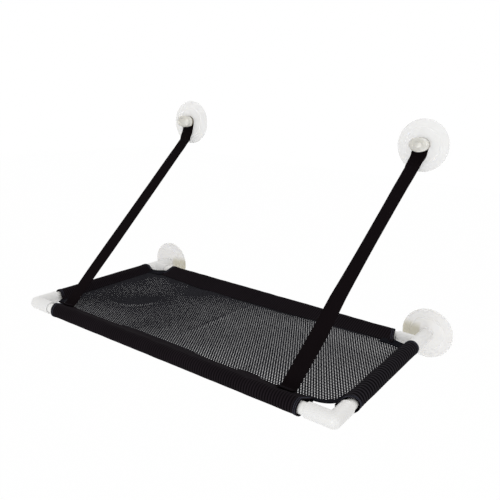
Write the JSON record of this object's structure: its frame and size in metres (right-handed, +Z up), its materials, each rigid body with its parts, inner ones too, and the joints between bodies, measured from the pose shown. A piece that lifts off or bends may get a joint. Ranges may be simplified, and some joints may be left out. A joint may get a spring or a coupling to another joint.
{
  "type": "cat window perch",
  "caption": "Window-mounted cat perch: plastic tube frame with a stretched black mesh bed, webbing straps to upper suction cups and plug-in lower suction cups.",
  "frame": {"origin": "on the glass plane, midway between the two lower cups at the height of the frame's tube axes", "axes": "+X to the right along the glass, +Y towards the glass, +Z up"},
  "size_m": [0.62, 0.3317, 0.3668],
  "materials": {
    "tube": "smooth white conduit tube",
    "fitting": "moulded white plastic, satin gloss",
    "sleeve_cloth": "dense black ribbed mesh cloth",
    "mesh_cloth": "open black mesh cloth",
    "binding_tape": "black folded edge tape",
    "webbing": "black woven webbing",
    "clear_cup": "clear soft plastic",
    "milky_cup": "milky white soft plastic"
  },
  "bodies": {
    "frame": {"front_tube": "tube", "rear_tube": "tube", "left_side_tube": "tube", "right_side_tube": "tube", "front_left_elbow": "fitting", "front_right_elbow": "fitting", "rear_left_tee": "fitting", "rear_right_tee": "fitting", "front_sleeve": "sleeve_cloth", "rear_sleeve": "sleeve_cloth", "left_sleeve": "sleeve_cloth", "right_sleeve": "sleeve_cloth", "mesh_panel": "mesh_cloth", "front_left_binding": "binding_tape", "front_right_binding": "binding_tape", "rear_left_binding": "binding_tape", "rear_right_binding": "binding_tape", "left_strap_foot": "webbing", "right_strap_foot": "webbing"},
    "left_strap_run": {"left_strap": "webbing"},
    "left_strap_end": {"left_strap_tab": "webbing"},
    "upper_left_suction_cup": {"upper_left_cup": "clear_cup"},
    "lower_left_suction_cup": {"lower_left_cup": "milky_cup"},
    "right_strap_run": {"right_strap": "webbing"},
    "right_strap_end": {"right_strap_tab": "webbing"},
    "upper_right_suction_cup": {"upper_right_cup": "clear_cup"},
    "lower_right_suction_cup": {"lower_right_cup": "milky_cup"}
  },
  "joints": [
    {"name": "left_strap_swing", "type": "hinge", "parent": "frame", "child": "left_strap_run", "pos_m": [-0.223, -0.29217, 0.00266], "axis": [1, 0, 0], "range_deg": [-38, 110]},
    {"name": "left_strap_end_bend", "type": "hinge", "parent": "left_strap_run", "child": "left_strap_end", "pos_m": [-0.2235, -0.0185, 0.254], "axis": [1, 0, 0], "range_deg": [-60, 70]},
    {"name": "upper_left_cup_swivel", "type": "hinge", "parent": "left_strap_end", "child": "upper_left_suction_cup", "pos_m": [-0.2245, 0, 0.2868], "axis": [0, 1, 0], "continuous": true},
    {"name": "lower_left_cup_swivel", "type": "hinge", "parent": "frame", "child": "lower_left_suction_cup", "pos_m": [-0.27, 0, 0], "axis": [0, 1, 0], "continuous": true},
    {"name": "right_strap_swing", "type": "hinge", "parent": "frame", "child": "right_strap_run", "pos_m": [0.194, -0.29217, 0.00266], "axis": [1, 0, 0], "range_deg": [-38, 110]},
    {"name": "right_strap_end_bend", "type": "hinge", "parent": "right_strap_run", "child": "right_strap_end", "pos_m": [0.2185, -0.0185, 0.254], "axis": [1, 0, 0], "range_deg": [-60, 70]},
    {"name": "upper_right_cup_swivel", "type": "hinge", "parent": "right_strap_end", "child": "upper_right_suction_cup", "pos_m": [0.2245, 0, 0.2868], "axis": [0, 1, 0], "continuous": true},
    {"name": "lower_right_cup_swivel", "type": "hinge", "parent": "frame", "child": "lower_right_suction_cup", "pos_m": [0.27, 0, 0], "axis": [0, 1, 0], "continuous": true}
  ]
}
